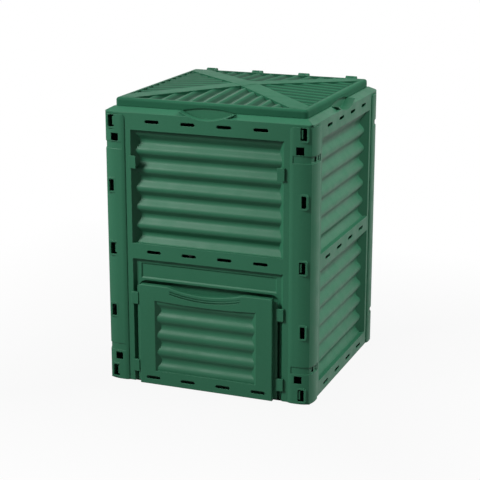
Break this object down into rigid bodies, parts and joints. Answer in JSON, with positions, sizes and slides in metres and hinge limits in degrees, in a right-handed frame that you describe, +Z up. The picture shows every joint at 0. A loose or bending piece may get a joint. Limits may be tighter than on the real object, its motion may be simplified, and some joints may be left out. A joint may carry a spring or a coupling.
{
  "type": "compost bin",
  "caption": "Square open-bottomed garden compost bin with wave-moulded walls held by corner posts, a hinged ribbed lid and an exit door that slides up.",
  "frame": {"origin": "middle of the overall box, at the level of the base", "axes": "+Z up; the front with the exit door faces -Y; +X is to the right of someone who faces the front"},
  "size_m": [0.6094, 0.6208, 0.818],
  "materials": {
    "green_plastic": "satin",
    "pin_plastic": "satin"
  },
  "bodies": {
    "bin": {"front_wall": "green_plastic", "right_wall": "green_plastic", "back_wall": "green_plastic", "left_wall": "green_plastic", "post_front_left": "green_plastic", "post_front_right": "green_plastic", "post_back_left": "green_plastic", "post_back_right": "green_plastic", "door_guide_left_low": "green_plastic", "door_guide_left_mid": "green_plastic", "door_guide_left_top": "green_plastic", "door_guide_right_low": "green_plastic", "door_guide_right_mid": "green_plastic", "door_guide_right_top": "green_plastic", "lid_hinge_pin_1": "pin_plastic", "lid_hinge_pin_2": "pin_plastic", "lid_hinge_pin_3": "pin_plastic", "lid_hinge_pin_4": "pin_plastic"},
    "lid": {"lid": "green_plastic"},
    "door": {"exit_door": "green_plastic"}
  },
  "joints": [
    {"name": "lid_hinge", "type": "hinge", "parent": "bin", "child": "lid", "pos_m": [0, 0.29365, 0.8], "axis": [-1, 0, 0], "range_deg": [0, 105]},
    {"name": "door_slide", "type": "slide", "parent": "bin", "child": "door", "axis": [0, 0, 1], "range_m": [0, 0.2]}
  ]
}
